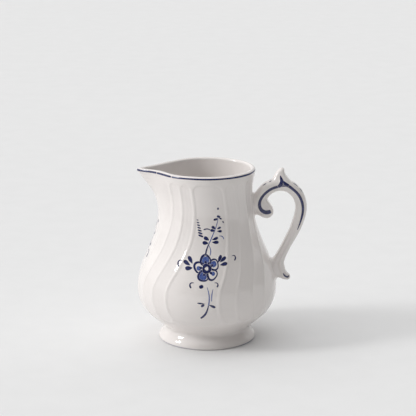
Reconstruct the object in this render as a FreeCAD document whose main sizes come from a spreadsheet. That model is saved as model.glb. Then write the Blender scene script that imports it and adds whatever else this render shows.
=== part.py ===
import FreeCAD, Part
import math
import os
import Sketcher

# Porcelain cream jug: a fluted baluster body on a spreading foot, with a drawn-out
# spout at -X and a scrolled strap handle at +X.  Millimetres, +Z up, foot on Z = 0.

doc = FreeCAD.newDocument("cream_jug")
Vector = FreeCAD.Vector

# ---------------------------------------------------------------- driving sizes
SIZES = [
    ("foot_height", 7.5),
    ("foot_radius", 27.7),
    ("foot_toe_round", 0.6),
    ("foot_toe_flat", 1.0),
    ("foot_cove_radius", 7.5),
    ("foot_seat_width", 2.8),
    ("foot_ring_wall", 3.4),
    ("waist_radius", 24.5),
    ("underside_rise", 4.7),
    ("underside_radius", 29.5),
    ("low_belly_rise", 6.0),
    ("low_belly_radius", 35.6),
    ("belly_rise", 14.8),
    ("belly_radius", 39.65),
    ("high_belly_rise", 9.5),
    ("high_belly_radius", 37.7),
    ("shoulder_rise", 15.5),
    ("shoulder_radius", 31.3),
    ("throat_rise", 15.8),
    ("throat_radius", 26.7),
    ("neck_rise", 13.2),
    ("neck_radius", 25.8),
    ("mouth_rise", 13.0),
    ("mouth_radius", 26.8),
    ("mouth_oval", 0.5),
    ("wall", 3.0),
    ("lip_wall", 2.7),
    ("lip_round", 1.4),
    ("floor_thickness", 3.6),
    ("floor_radius", 19.0),
    ("spout_reach", 40.3),
    ("spout_drop", 42.0),
    ("flute_depth", 0.55),
    ("flute_top_drop", 4.5),
    ("flute_foot_gap", 9.5),
    ("handle_reach", 27.4),
    ("handle_crown_drop", 10.0),
    ("handle_fall", 46.4),
    ("handle_width", 8.4),
    ("strap_thickness", 6.5),
    ("root_offset", 3.6),
    ("heel_offset", 2.7),
    ("scroll_radius", 3.9),
    ("scroll_round", 1.6),
    ("scroll_drop", 15.4),
    ("scroll_offset", 7.8),
    ("spur_height", 9.9),
    ("spur_base", 9.5),
    ("tail_kick", 7.2),
    ("paint_thickness", 0.16),
    ("rim_line_width", 1.0),
    ("rim_line_thickness", 0.28),
    ("foot_line_width", 0.5),
    ("handle_line_width", 1.5),
    ("axis_shift", 0.0),
]

sheet = doc.addObject("Spreadsheet::Sheet", "sizes")
for row, (alias, value) in enumerate(SIZES, start=1):
    sheet.set("A%d" % row, alias)
    sheet.set("B%d" % row, str(value))
    sheet.setAlias("B%d" % row, alias)
doc.recompute()


def size(alias):
    return float(sheet.get(alias))


# ---------------------------------------------------------------- turned profile
# Heights stack up from the foot, so a longer stretch lifts everything above it.
PROFILE = [
    ("foot_height", "waist_radius"),
    ("underside_rise", "underside_radius"),
    ("low_belly_rise", "low_belly_radius"),
    ("belly_rise", "belly_radius"),
    ("high_belly_rise", "high_belly_radius"),
    ("shoulder_rise", "shoulder_radius"),
    ("throat_rise", "throat_radius"),
    ("neck_rise", "neck_radius"),
    ("mouth_rise", "mouth_radius"),
]


def profile_points():
    height = 0.0
    points = []
    for rise, radius in PROFILE:
        height += size(rise)
        points.append(Vector(size(radius), 0, height))
    return points


def smooth_curve(points):
    curve = Part.BSplineCurve()
    curve.interpolate(points)
    return curve


outer_points = profile_points()
outer_curve = smooth_curve(outer_points)
rim_height = outer_points[-1].z
belly_height = outer_points[3].z
neck_height = outer_points[7].z


def outer_radius(height):
    """Radius of the smooth profile, outside the ridges, at a height."""
    low = outer_curve.FirstParameter
    high = outer_curve.LastParameter
    for _ in range(40):
        middle = (low + high) / 2
        if outer_curve.value(middle).z < height:
            low = middle
        else:
            high = middle
    return outer_curve.value(low).x


def ease(value, start, end):
    """Smooth step from 0 at start to 1 at end."""
    share = min(1.0, max(0.0, (value - start) / (end - start)))
    return share * share * (3 - 2 * share)


# ---------------------------------------------------------------- spout and flutes
def spout_share(angle, height, sharpness):
    """How far the wall is drawn out, 0 to 1, at an angle in degrees from the spout."""
    start = rim_height - size("spout_drop")
    if height <= start:
        return 0.0
    climb = (height - start) / size("spout_drop")
    crease = math.exp(-(math.hypot(angle, 2.0) - 2.0) / sharpness)
    swell = math.exp(-((angle / 24.0) ** 2))
    blend = ease(climb, 0.35, 1.0)
    return climb ** 2.3 * (swell * (1 - blend) + crease * blend)


def swirl(height):
    """Turn of the flutes about the axis, in degrees: an open S from rim to foot."""
    top = rim_height - size("flute_top_drop")
    foot = size("foot_height") + size("flute_foot_gap")
    bends = [(top, 0.0), (neck_height - 8.0, 4.5), (neck_height - 16.0, 4.0)]
    bends += [(belly_height + 19.0, -4.5), (belly_height + 6.0, -12.0)]
    bends += [(belly_height - 4.0, -13.0), (foot, -7.0)]
    if height >= top:
        return 0.0
    for (high, turn_high), (low, turn_low) in zip(bends, bends[1:]):
        if height >= low:
            return turn_low + (turn_high - turn_low) * ease(height, low, high)
    return bends[-1][1]


# One quarter of the ring: a wide panel and three narrow ones between raised ridges.
WIDE_PANEL = [0.0, 2.2, 5.0, 9.0, 14.0, 18.0, 21.5]
NARROW_PANEL = [0.1, 0.32, 0.68, 0.9]


def ring_stations():
    """Angles round the ring with the panel depth share at each, ridges at share 0."""
    quarter = []
    narrow = (90.0 - 2 * WIDE_PANEL[-1]) / 3
    for angle in WIDE_PANEL[:-1]:
        quarter.append((angle, 1.0 if angle < 17 else 0.75))
    for panel in range(3):
        start = WIDE_PANEL[-1] + panel * narrow
        quarter.append((start, 0.0))
        for share in NARROW_PANEL:
            quarter.append((start + share * narrow, 0.45 if share in (0.1, 0.9) else 1.0))
    quarter.append((90.0 - WIDE_PANEL[-1], 0.0))
    for angle in reversed(WIDE_PANEL[1:-1]):
        quarter.append((90.0 - angle, 1.0 if angle < 17 else 0.75))
    stations = []
    for turn in range(4):
        for angle, share in quarter:
            stations.append((turn * 90.0 + angle, share))
    return stations


def from_spout(angle):
    """Unsigned angle from the spout, which points along -X."""
    turned = (angle - 180.0) % 360.0
    return min(turned, 360.0 - turned)


def mouth_stretch(angle, height):
    """The mouth is a slight oval, longer from spout to handle than across."""
    return size("mouth_oval") * math.cos(math.radians(2 * angle)) * ease(height, rim_height - 20, rim_height - 2)


def ring(height, width_at):
    """Control points round the form at one height; width_at gives each distance from the axis."""
    points = []
    for station, share in ring_stations():
        angle = station + swirl(height)
        wide = width_at(angle, share) + mouth_stretch(angle, height)
        turn = math.radians(angle)
        points.append(Vector(wide * math.cos(turn), wide * math.sin(turn), height))
    return points


def outer_ring(radius, height):
    """Fluted outside at one height, its panels fading out beside the spout."""
    top = rim_height - size("flute_top_drop")
    foot = size("foot_height") + size("flute_foot_gap")
    reach = size("spout_reach") - size("mouth_radius")
    fade = ease(height, foot - 2.5, foot + 2.5) * (1 - ease(height, top - 2.5, top + 1.5))
    near_spout = ease(height, rim_height - 38, rim_height - 28)

    def width_at(angle, share):
        away = from_spout(angle)
        clear = 1 - near_spout * (1 - ease(away, 28, 42))
        drawn = reach * spout_share(away, height, 12.5)
        return radius + drawn - size("flute_depth") * share * fade * clear

    return ring(height, width_at)


def inner_ring(radius, height):
    """Smooth inside at one height, with a narrower channel down the spout."""
    reach = size("spout_reach") - size("mouth_radius") - 0.3

    def width_at(angle, share):
        return radius + reach * spout_share(from_spout(angle), height, 9.5)

    return ring(height, width_at)


# ---------------------------------------------------------------- free-form solids
def ring_surface(rows):
    """Cubic surface through a net of rings, closed round each ring."""
    around = len(rows[0])
    along = len(rows)
    poles = [[rows[v][u] for v in range(along)] for u in range(around)]
    surface = Part.BSplineSurface()
    knots_along = list(range(along - 2))
    counts_along = [4] + [1] * (along - 4) + [4]
    counts_around = [1] * (around + 1)
    surface.buildFromPolesMultsKnots(
        poles, counts_around, counts_along,
        list(range(around + 1)), knots_along, True, False, 3, 3)
    return surface


def capped_solid(rows):
    """Ring surface closed by a flat face over its first and last ring."""
    skin = ring_surface(rows).toShape()
    rims = [edge for edge in skin.Edges if edge.isClosed()]
    caps = [Part.Face(Part.Wire([edge])) for edge in rims]
    shell = Part.Shell([skin] + caps)
    shell.sewShape()
    solid = Part.makeSolid(shell.Shells[0] if shell.Shells else shell)
    if solid.Volume < 0:
        solid.reverse()
    return solid


def add_piece(name, shape):
    piece = doc.addObject("Part::Feature", name)
    piece.Shape = shape
    piece.Label = name
    piece.Placement = FreeCAD.Placement()
    piece.setExpression("Placement.Base.x", "-sizes.axis_shift")
    return piece


# ---------------------------------------------------------------- jug body
OUTER_ROWS = 26
INNER_ROWS = 20
LIP_ROWS = 7


def outer_rows():
    """Rings from the waist up to just under the lip."""
    lip_start = rim_height - size("lip_round")
    low = outer_curve.FirstParameter
    high = outer_curve.LastParameter
    rows = []
    for step in range(OUTER_ROWS + 1):
        point = outer_curve.value(low + (high - low) * step / OUTER_ROWS)
        if point.z < lip_start - 0.8:
            rows.append((point.x, point.z))
    rows.append((outer_radius(lip_start), lip_start))
    return rows


def inner_profile():
    """Inside profile, a wall thickness in from the outside, down to the flat floor."""
    floor = size("foot_height") + size("floor_thickness")
    low = outer_curve.FirstParameter
    high = outer_curve.LastParameter
    points = []
    for step in range(14):
        place = high - (high - low) * step / 16.0
        point = outer_curve.value(place)
        slope = outer_curve.tangent(place)[0]
        thick = size("wall") + (size("lip_wall") - size("wall")) * ease(point.z, rim_height - 20, rim_height - 2)
        inner = Vector(point.x - thick * slope.z, 0, point.z + thick * slope.x)
        if inner.z > floor + 4.0:
            points.append(inner)
    last = points[-1]
    points.append(Vector((last.x + size("floor_radius")) / 2 + 1.2, 0, floor + (last.z - floor) * 0.22))
    points.append(Vector(size("floor_radius"), 0, floor))
    return points


def lip_rows(outside, inside):
    """Half-round lip between the outer and the inner ring."""
    rows = []
    for step in range(1, LIP_ROWS):
        turn = math.pi * step / LIP_ROWS
        ring = []
        for out_point, in_point in zip(outside, inside):
            middle = (out_point + in_point) * 0.5
            half = (out_point - in_point) * 0.5
            lift = Vector(0, 0, size("lip_round") * 1.06 * math.sin(turn))
            ring.append(middle + half * math.cos(turn) + lift)
        rows.append(ring)
    return rows


def jug_body():
    lip_start = rim_height - size("lip_round")
    rows = [outer_ring(radius, height) for radius, height in outer_rows()]
    inner_curve = smooth_curve(inner_profile())
    low = inner_curve.FirstParameter
    high = inner_curve.LastParameter
    inside = []
    for step in range(INNER_ROWS + 1):
        point = inner_curve.value(low + (high - low) * step / INNER_ROWS)
        if point.z < lip_start - 0.8:
            inside.append(inner_ring(point.x, point.z))
    first = inner_ring(outer_radius(lip_start) - size("lip_wall"), lip_start)
    rows += lip_rows(rows[-1], first)
    rows.append(first)
    rows += inside
    return capped_solid(rows)


# ---------------------------------------------------------------- handle path
def handle_frame():
    """Named places of the handle, tied to the body it is fixed to."""
    crown = rim_height - size("handle_crown_drop")
    root = outer_radius(crown - 12.0) + size("root_offset")
    reach = outer_radius(crown - 12.0) + size("handle_reach")
    heel = crown - size("handle_fall")
    heel_x = outer_radius(heel) + size("heel_offset")
    return crown, root, reach, heel, heel_x


# Strap stations: share of the reach, share of the fall, thickness over strap thickness.
STRAP = [
    (0.00, 0.380, 1.06),
    (-0.01, 0.280, 1.17),
    (0.01, 0.205, 1.20),
    (0.06, 0.130, 1.17),
    (0.17, 0.060, 1.12),
    (0.32, 0.013, 1.06),
    (0.50, 0.000, 1.02),
    (0.68, 0.017, 1.00),
    (0.83, 0.065, 1.00),
    (0.94, 0.147, 1.00),
    (1.00, 0.248, 1.00),
    (1.00, 0.338, 0.99),
    (0.95, 0.437, 0.97),
    (0.85, 0.577, 0.89),
    (0.72, 0.709, 0.83),
    (0.59, 0.834, 0.82),
    (0.50, 0.940, 0.96),
    (0.47, 1.000, 1.10),
]
HEEL_SHARE = STRAP[-1][0]


def strap_point(share, fall):
    """Centre of the strap, blended from the neck root to the heel on the belly."""
    crown, root, reach, heel, heel_x = handle_frame()
    plain = root + share * (reach - root)
    at_heel = root + HEEL_SHARE * (reach - root)
    shift = (heel_x - at_heel) * ease(fall, 0.3, 1.0)
    return Vector(plain + shift, 0, crown - fall * size("handle_fall"))


# Rounded oblong section with faintly hollow cheeks, as shares of half thickness and width.
SECTION = [
    (1.00, 0.00), (1.02, 0.55), (0.80, 0.98), (0.40, 0.96),
    (0.00, 0.90), (-0.40, 0.96), (-0.80, 0.98), (-1.02, 0.55),
    (-1.00, 0.00), (-1.02, -0.55), (-0.80, -0.98), (-0.40, -0.96),
    (0.00, -0.90), (0.40, -0.96), (0.80, -0.98), (1.02, -0.55),
]


def swept_rows(centres, thicknesses, widths, before=None, after=None):
    """Sections square to a path in the XZ plane; before and after aim its two ends."""
    rows = []
    path = [before or centres[0]] + centres + [after or centres[-1]]
    for place, centre in enumerate(centres):
        behind = path[place]
        ahead = path[place + 2]
        along = (ahead - behind).normalize()
        outward = Vector(along.z, 0, -along.x)
        ring = []
        for across, side in SECTION:
            offset = outward * (across * thicknesses[place] / 2)
            ring.append(centre + offset + Vector(0, side * widths[place] / 2, 0))
        rows.append(ring)
    return rows


def strap_centres():
    return [strap_point(share, fall) for share, fall, thick in STRAP]


# Tail stations: share of the kick outward and downward, thickness over strap thickness.
TAIL = [
    (0.000, 0.000, 1.10), (0.050, -0.28, 1.06), (0.16, -0.62, 0.96), (0.34, -0.91, 0.82),
    (0.56, -1.10, 0.66), (0.78, -1.20, 0.48), (0.94, -1.23, 0.30), (1.00, -1.235, 0.10),
]


def tail_centres():
    start = strap_centres()[-1]
    kick = size("tail_kick")
    return [start + Vector(across * kick, 0, drop * kick) for across, drop, share in TAIL]


def strap_solid():
    thicknesses = [size("strap_thickness") * thick for share, fall, thick in STRAP]
    widths = [size("handle_width") * (1 - 0.12 * ease(fall, 0.4, 0.9)) for share, fall, thick in STRAP]
    rows = swept_rows(strap_centres(), thicknesses, widths, None, tail_centres()[1])
    return capped_solid(rows)


def spur_solid():
    """Pointed thumb leaf standing on the crown of the strap."""
    crown, root, reach, heel, heel_x = handle_frame()
    foot_x = root + 0.5 * (reach - root)
    base = size("spur_base")
    rise = size("spur_height")
    steps = [
        (0.3, 0.00, 1.00, 0.84), (0.1, 0.28, 0.92, 0.82), (-0.2, 0.45, 0.66, 0.76),
        (-0.3, 0.60, 0.52, 0.68), (0.0, 0.76, 0.43, 0.56), (0.7, 0.90, 0.30, 0.40),
        (1.2, 0.97, 0.18, 0.22), (1.5, 1.00, 0.05, 0.06),
    ]
    centres = [Vector(foot_x + lean, 0, crown + share * rise) for lean, share, thick, wide in steps]
    thicknesses = [base * thick for lean, share, thick, wide in steps]
    widths = [size("handle_width") * wide for lean, share, thick, wide in steps]
    return capped_solid(swept_rows(centres, thicknesses, widths))


def tail_solid():
    """Short outward kick that carries on from the heel of the strap."""
    thicknesses = [size("strap_thickness") * share for across, drop, share in TAIL]
    widths = [size("handle_width") * 0.88 * (0.45 + 0.5 * share) for across, drop, share in TAIL]
    rows = swept_rows(tail_centres(), thicknesses, widths, strap_centres()[-2])
    return capped_solid(rows)


# ---------------------------------------------------------------- scroll
def handle_scroll(strap):
    """Round eye of the scroll, a button lying on its side under the strap."""
    crown, root, reach, heel, heel_x = handle_frame()
    button = doc.addObject("Part::Cylinder", "scroll_button")
    button.setExpression("Radius", "sizes.scroll_radius")
    button.setExpression("Height", "sizes.handle_width")
    turned = FreeCAD.Rotation(Vector(1, 0, 0), 90)
    centre_x = root - size("root_offset") + size("scroll_offset")
    centre = Vector(centre_x, size("handle_width") / 2, crown - size("scroll_drop"))
    button.Placement = FreeCAD.Placement(centre, turned)
    doc.recompute()
    rounded = doc.addObject("Part::Fillet", "scroll_rounded")
    rounded.Base = button
    circles = [n for n, e in enumerate(button.Shape.Edges, start=1) if e.isClosed()]
    rounded.Edges = [(n, size("scroll_round"), size("scroll_round")) for n in circles]
    doc.recompute()
    return rounded.Shape.cut(strap)


# ---------------------------------------------------------------- foot ring
def plane_of(body, role):
    return [plane for plane in body.Origin.OriginFeatures if plane.Role == role][0]


def turned_body(name, points, arcs):
    """Body turned about Z from a closed outline in the XZ plane.

    points are (radius expression, height expression); arcs gives a radius
    expression for the side that starts at that point.
    """
    body = doc.addObject("PartDesign::Body", name)
    body.Label = name
    sketch = body.newObject("Sketcher::SketchObject", name + "_outline")
    sketch.AttachmentSupport = (plane_of(body, "XZ_Plane"), [""])
    sketch.MapMode = "FlatFace"
    places = [(value_of(across), value_of(up)) for across, up in points]
    count = len(places)
    for start in range(count):
        begin = Vector(places[start][0], places[start][1], 0)
        end = Vector(places[(start + 1) % count][0], places[(start + 1) % count][1], 0)
        if start in arcs:
            sketch.addGeometry(arc_between(begin, end, value_of(arcs[start][0]), arcs[start][1]), False)
        else:
            sketch.addGeometry(Part.LineSegment(begin, end), False)
    tips = {}
    for start in range(count):
        # An arc is stored counter-clockwise, so its ends may be swapped.
        flipped = start in arcs and arcs[start][1]
        tips[start] = (2, 1) if flipped else (1, 2)
    for start in range(count):
        after = (start + 1) % count
        sketch.addConstraint(Sketcher.Constraint("Coincident", start, tips[start][1], after, tips[after][0]))
    for start in range(count):
        across, up = points[start]
        tie(sketch, "DistanceX", start, tips[start][0], places[start][0], across)
        tie(sketch, "DistanceY", start, tips[start][0], places[start][1], up)
    for start in arcs:
        radius = value_of(arcs[start][0])
        number = sketch.addConstraint(Sketcher.Constraint("Radius", start, radius))
        sketch.setExpression("Constraints[%d]" % number, arcs[start][0])
    turned = body.newObject("PartDesign::Revolution", name + "_turned")
    turned.Profile = sketch
    turned.ReferenceAxis = (sketch, ["V_Axis"])
    turned.Angle = 360.0
    doc.recompute()
    body.setExpression("Placement.Base.x", "-sizes.axis_shift")
    return body


def tie(sketch, kind, geometry, end, value, expression):
    """Distance of a point from the sketch origin along one axis, bound to the sheet."""
    if abs(value) < 1e-9:
        anchor = -1 if kind == "DistanceY" else -2
        sketch.addConstraint(Sketcher.Constraint("PointOnObject", geometry, end, anchor))
        return
    number = sketch.addConstraint(Sketcher.Constraint(kind, -1, 1, geometry, end, value))
    sketch.setExpression("Constraints[%d]" % number, expression)


def value_of(expression):
    """Number that a simple sum of sheet values gives."""
    total = 0.0
    for term in expression.replace("-", "+-").split("+"):
        term = term.strip()
        if not term:
            continue
        sign = -1.0 if term.startswith("-") else 1.0
        factor = 1.0
        for part in term.lstrip("-").strip().split("*"):
            part = part.strip()
            factor *= size(part[6:]) if part.startswith("sizes.") else float(part)
        total += sign * factor
    return total


def arc_between(begin, end, radius, clockwise):
    """Short arc from begin to end; clockwise or not when seen with +Y away."""
    chord = end - begin
    middle = (begin + end) * 0.5
    side = Vector(-chord.y, chord.x, 0).normalize()
    away = math.sqrt(max(radius * radius - (chord.Length / 2) ** 2, 0.0))
    centre = middle - side * away if clockwise else middle + side * away
    first = math.atan2(begin.y - centre.y, begin.x - centre.x)
    last = math.atan2(end.y - centre.y, end.x - centre.x)
    if clockwise:
        first, last = last, first
    return Part.ArcOfCircle(Part.Circle(centre, Vector(0, 0, 1), radius), first, last)


def foot_ring():
    points = [
        ("sizes.waist_radius - sizes.foot_ring_wall", "sizes.foot_height"),
        ("sizes.foot_radius - sizes.foot_toe_round - sizes.foot_seat_width", "0"),
        ("sizes.foot_radius - sizes.foot_toe_round", "0"),
        ("sizes.foot_radius", "sizes.foot_toe_round"),
        ("sizes.foot_radius", "sizes.foot_toe_round + sizes.foot_toe_flat"),
        ("sizes.waist_radius", "sizes.foot_height"),
    ]
    arcs = {
        2: ("sizes.foot_toe_round", False),
        4: ("sizes.foot_cove_radius", True),
    }
    return turned_body("foot_ring", points, arcs)


def foot_line():
    """Thin painted line round the upright edge of the foot."""
    inner = "sizes.foot_radius"
    outer = "sizes.foot_radius + sizes.paint_thickness"
    low = "sizes.foot_toe_round"
    high = "sizes.foot_toe_round + sizes.foot_line_width"
    points = [(inner, low), (outer, low), (outer, high), (inner, high)]
    return turned_body("foot_line", points, {})


# ---------------------------------------------------------------- painted lines
def rim_line(body_shape):
    """Painted line round the outside of the mouth, just under the lip."""
    height = rim_height - size("lip_round") + 0.25
    half = size("rim_line_width") / 2
    thick = size("rim_line_thickness")
    section = [(-half, 0.0), (-half, thick), (0.0, thick), (half, thick), (half, 0.0), (0.0, -thick)]
    rings = []
    for lift, proud in section:
        base = outer_ring(outer_radius(height), height)
        ring = []
        for point in base:
            outward = Vector(point.x, point.y, 0).normalize()
            ring.append(point + outward * proud + Vector(0, 0, lift))
        rings.append(ring)
    around = len(rings[0])
    poles = [[rings[v][u] for v in range(len(rings))] for u in range(around)]
    surface = Part.BSplineSurface()
    surface.buildFromPolesMultsKnots(
        poles, [1] * (around + 1), [1] * (len(rings) + 1),
        list(range(around + 1)), list(range(len(rings) + 1)), True, True, 3, 3)
    band = Part.makeSolid(Part.Shell([surface.toShape()]))
    if band.Volume < 0:
        band.reverse()
    return band.cut(body_shape)


# Painted line on each cheek: share of the reach, share of the fall, width share.
CHEEK_LINE = [
    (0.25, 0.345, 0.9), (0.19, 0.352, 1.1), (0.12, 0.345, 1.15), (0.04, 0.315, 1.1),
    (0.00, 0.264, 1.05), (0.01, 0.195, 1.0), (0.08, 0.132, 0.95), (0.18, 0.077, 0.9),
    (0.31, 0.034, 0.9), (0.45, 0.009, 0.95), (0.58, 0.004, 1.1), (0.70, 0.012, 1.1),
    (0.81, 0.045, 1.0), (0.92, 0.098, 0.95), (1.01, 0.175, 0.95), (1.055, 0.26, 0.95),
    (1.055, 0.335, 0.9), (1.03, 0.415, 0.8), (0.98, 0.49, 0.6), (0.915, 0.565, 0.2),
]


def cheek_line(side, handle_shapes):
    """Flat painted stroke lying on one cheek of the handle."""
    face = side * size("handle_width") * 0.455
    thick = size("paint_thickness")
    centres = [strap_point(share, fall) + Vector(0, face, 0) for share, fall, wide in CHEEK_LINE]
    widths = [size("handle_line_width") * wide for share, fall, wide in CHEEK_LINE]
    stroke = capped_solid(swept_rows(centres, widths, [6 * thick] * len(centres)))
    for shape in handle_shapes:
        stroke = stroke.cut(shape)
    return stroke


# ---------------------------------------------------------------- assembly
body_shape = jug_body()
strap_raw = strap_solid()
spur_raw = spur_solid()
tail_raw = tail_solid()
scroll_shape = handle_scroll(strap_raw).cut(body_shape)
strap_shape = strap_raw.cut(body_shape)
tail_shape = tail_raw.cut(body_shape)
spur_shape = spur_raw.cut(strap_raw)

add_piece("jug_body", body_shape)
add_piece("handle_strap", strap_shape)
add_piece("handle_scroll", scroll_shape)
add_piece("thumb_spur", spur_shape)
add_piece("handle_tail", tail_shape)
add_piece("rim_line", rim_line(body_shape))
handle_shapes = [strap_raw, scroll_shape, spur_raw]
add_piece("handle_line_front", cheek_line(-1, handle_shapes))
add_piece("handle_line_back", cheek_line(1, handle_shapes))
foot_ring()
foot_line()
doc.recompute()

PIECES = [
    "jug_body", "foot_ring", "handle_strap", "handle_scroll", "thumb_spur",
    "handle_tail", "rim_line", "foot_line", "handle_line_front", "handle_line_back",
]

# The origin stands under the middle of the overall length, spout tip to handle.
spans = [doc.getObjectsByLabel(name)[0].Shape.optimalBoundingBox() for name in PIECES]
middle = (min(span.XMin for span in spans) + max(span.XMax for span in spans)) / 2
sheet.set("B%d" % len(SIZES), "%.3f" % middle)
doc.recompute()

# ---------------------------------------------------------------- check and write
for item in doc.Objects:
    if "Invalid" in item.State or "Error" in item.State:
        raise RuntimeError("%s: %s" % (item.Name, item.State))
for name in PIECES:
    shape = doc.getObjectsByLabel(name)[0].Shape
    if shape.isNull() or not shape.isValid() or not shape.Solids:
        raise RuntimeError("bad shape: " + name)
    print(name, "solids", len(shape.Solids), "volume %.1f" % shape.Volume, shape.optimalBoundingBox())

os.makedirs("parts", exist_ok=True)
for name in PIECES:
    doc.getObjectsByLabel(name)[0].Shape.exportStep("parts/%s.step" % name)
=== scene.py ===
import math
import bpy
import numpy as np
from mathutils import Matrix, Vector


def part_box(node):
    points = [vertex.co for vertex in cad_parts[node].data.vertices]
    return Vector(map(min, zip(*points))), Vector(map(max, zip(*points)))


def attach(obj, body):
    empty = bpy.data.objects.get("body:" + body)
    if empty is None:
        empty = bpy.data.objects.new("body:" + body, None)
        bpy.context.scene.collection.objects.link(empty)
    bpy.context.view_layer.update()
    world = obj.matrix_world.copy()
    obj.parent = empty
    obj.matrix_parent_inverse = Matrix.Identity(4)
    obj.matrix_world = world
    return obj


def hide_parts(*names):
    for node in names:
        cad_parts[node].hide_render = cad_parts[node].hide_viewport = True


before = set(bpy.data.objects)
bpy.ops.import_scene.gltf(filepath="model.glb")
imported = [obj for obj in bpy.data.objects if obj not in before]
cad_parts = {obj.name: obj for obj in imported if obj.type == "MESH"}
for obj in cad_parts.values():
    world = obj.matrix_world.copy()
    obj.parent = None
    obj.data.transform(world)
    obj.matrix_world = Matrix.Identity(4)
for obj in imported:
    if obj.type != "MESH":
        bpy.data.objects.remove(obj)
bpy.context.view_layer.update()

MM = 0.001
foot_low, foot_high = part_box("foot_ring")
body_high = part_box("jug_body")[1]
AXIS_X = (foot_low.x + foot_high.x) / 2 / MM
RIM = body_high.z / MM
FOOT_TOP = foot_high.z / MM


# ------------------------------------------------------------------ helpers
def ease(value, start, end):
    """Smooth climb from 0 at start to 1 at end."""
    share = np.clip((np.asarray(value, float) - start) / (end - start), 0.0, 1.0)
    return share * share * (3 - 2 * share)


def spline(points, count):
    """Natural cubic spline through points, spaced by chord length."""
    pts = np.array(points, float)
    n = len(pts)
    t = np.concatenate([[0], np.cumsum(np.linalg.norm(np.diff(pts, axis=0), axis=1))])
    h = np.diff(t)
    a = np.zeros((n, n))
    b = np.zeros((n, pts.shape[1]))
    a[0, 0] = a[-1, -1] = 1
    for i in range(1, n - 1):
        a[i, i - 1] = h[i - 1]
        a[i, i] = 2 * (h[i - 1] + h[i])
        a[i, i + 1] = h[i]
        b[i] = 6 * ((pts[i + 1] - pts[i]) / h[i] - (pts[i] - pts[i - 1]) / h[i - 1])
    m = np.linalg.solve(a, b)
    out = []
    for u in np.linspace(0, t[-1], count):
        i = min(max(int(np.searchsorted(t, u)) - 1, 0), n - 2)
        c, d = t[i + 1] - u, u - t[i]
        out.append(m[i] * c**3 / (6 * h[i]) + m[i + 1] * d**3 / (6 * h[i])
                   + (pts[i] / h[i] - m[i] * h[i] / 6) * c
                   + (pts[i + 1] / h[i] - m[i + 1] * h[i] / 6) * d)
    return np.array(out)


def make_mesh(name, verts, faces, material, smooth=True, shares=None):
    """A mesh object from points in millimetres about the jug's axis."""
    mesh = bpy.data.meshes.new(name)
    placed = np.array(verts, float)
    placed[:, 0] += AXIS_X
    mesh.from_pydata((placed * MM).tolist(), [], [list(f) for f in faces])
    mesh.validate()
    mesh.polygons.foreach_set("use_smooth", [smooth] * len(mesh.polygons))
    if shares is not None:
        layer = mesh.attributes.new("paint_share", "FLOAT", "POINT")
        layer.data.foreach_set("value", np.asarray(shares, np.float32))
    mesh.update()
    obj = bpy.data.objects.new(name, mesh)
    bpy.context.scene.collection.objects.link(obj)
    obj.data.materials.append(material)
    return obj


# ------------------------------------------------------------------ materials
def new_material(name):
    """A material with one Principled shader, and its node tree and shader."""
    mat = bpy.data.materials.new(name)
    mat.use_nodes = True
    tree = mat.node_tree
    tree.nodes.clear()
    out = tree.nodes.new("ShaderNodeOutputMaterial")
    shader = tree.nodes.new("ShaderNodeBsdfPrincipled")
    tree.links.new(shader.outputs["BSDF"], out.inputs["Surface"])
    return mat, tree, shader


def noise(tree, scale, detail=2.0):
    """Soft noise that keeps to the object; scale is in waves to the metre."""
    coords = tree.nodes.new("ShaderNodeTexCoord")
    tex = tree.nodes.new("ShaderNodeTexNoise")
    tex.inputs["Scale"].default_value = scale
    tex.inputs["Detail"].default_value = detail
    tex.inputs["Roughness"].default_value = 0.5
    tree.links.new(coords.outputs["Object"], tex.inputs["Vector"])
    return tex.outputs["Fac"]


def ramp(tree, source, stops):
    """Colour that runs through the stops, each a place and a colour."""
    node = tree.nodes.new("ShaderNodeValToRGB")
    while len(node.color_ramp.elements) < len(stops):
        node.color_ramp.elements.new(0.5)
    for element, (place, colour) in zip(node.color_ramp.elements, stops):
        element.position = place
        element.color = (*colour, 1.0)
    tree.links.new(source, node.inputs["Fac"])
    return node.outputs["Color"]


def spread(tree, source, low, high):
    """A value from 0 to 1, mapped to run from low to high."""
    node = tree.nodes.new("ShaderNodeMapRange")
    node.inputs["To Min"].default_value = low
    node.inputs["To Max"].default_value = high
    tree.links.new(source, node.inputs["Value"])
    return node.outputs["Result"]


def bump(tree, shader, source, strength, distance):
    """Unevenness in the shading; distance is in metres."""
    node = tree.nodes.new("ShaderNodeBump")
    node.inputs["Strength"].default_value = strength
    node.inputs["Distance"].default_value = distance
    tree.links.new(source, node.inputs["Height"])
    tree.links.new(node.outputs["Normal"], shader.inputs["Normal"])


GLAZE = (0.85, 0.806, 0.782)
GLAZE_IOR = 1.6
GLAZE_ROUGHNESS = (0.02, 0.06)


def glossy(tree, shader):
    """Clear gloss that varies a little from place to place."""
    drift = spread(tree, noise(tree, 210.0), *GLAZE_ROUGHNESS)
    tree.links.new(drift, shader.inputs["Roughness"])
    shader.inputs["IOR"].default_value = GLAZE_IOR


def porcelain():
    """White porcelain with a gloss glaze and a faint drift of tone."""
    mat, tree, shader = new_material("white_porcelain")
    tone = noise(tree, 38.0, 3.0)
    shade = tuple(channel * 0.975 for channel in GLAZE)
    tree.links.new(ramp(tree, tone, [(0.3, shade), (0.7, GLAZE)]), shader.inputs["Base Color"])
    glossy(tree, shader)
    bump(tree, shader, noise(tree, 320.0, 1.0), 0.03, 0.0003)
    return mat


def biscuit():
    """Unglazed bearing ring, ground flat."""
    mat, tree, shader = new_material("bare_biscuit")
    grain = noise(tree, 2600.0, 4.0)
    tree.links.new(ramp(tree, grain, [(0.3, (0.62, 0.59, 0.55)), (0.7, (0.76, 0.74, 0.7))]),
                   shader.inputs["Base Color"])
    shader.inputs["Roughness"].default_value = 0.75
    bump(tree, shader, grain, 0.25, 0.0002)
    return mat


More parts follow.
